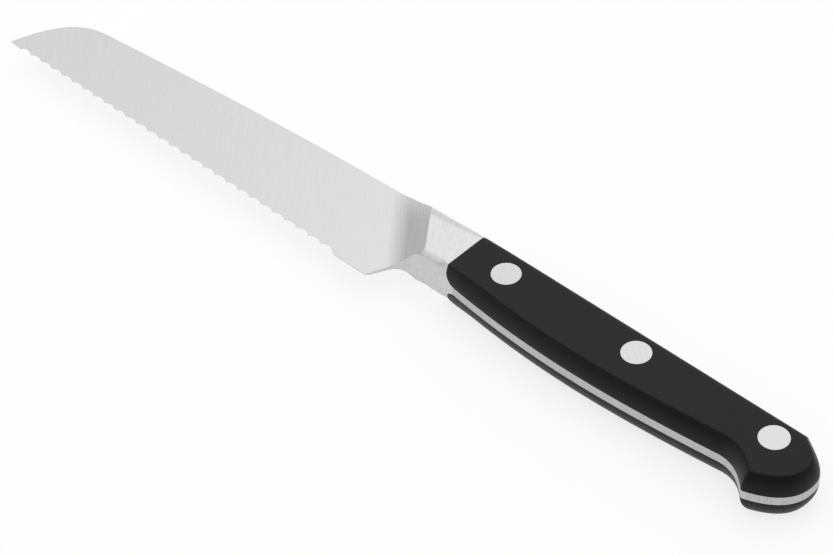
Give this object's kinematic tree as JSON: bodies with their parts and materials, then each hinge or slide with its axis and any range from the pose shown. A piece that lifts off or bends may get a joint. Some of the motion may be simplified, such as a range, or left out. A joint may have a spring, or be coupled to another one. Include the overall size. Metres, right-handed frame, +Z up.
{
  "type": "serrated kitchen knife",
  "caption": "Short serrated slicing knife with a straight scalloped edge, forged bolster, full tang and black riveted handle scales, for soft bread and pastry.",
  "frame": {"origin": "under the middle of the bounding box, on the surface that the knife lies on", "axes": "+X runs along the handle to the butt, +Y to the spine with the edge facing -Y, +Z up and square to the handle's faces"},
  "size_m": [0.2488, 0.0258, 0.0125],
  "materials": {
    "blade_steel": "fine satin, ground across the blade",
    "rivet_steel": "brushed flush with the handle's face",
    "handle_polymer": "matte black acetal, finely moulded"
  },
  "bodies": {
    "root": {"forged_blade_and_tang": "blade_steel", "upper_scale": "handle_polymer", "lower_scale": "handle_polymer", "front_rivet_sleeve": "rivet_steel", "front_rivet_pin": "rivet_steel", "middle_rivet_sleeve": "rivet_steel", "middle_rivet_pin": "rivet_steel", "rear_rivet_sleeve": "rivet_steel", "rear_rivet_pin": "rivet_steel"}
  },
  "joints": []
}
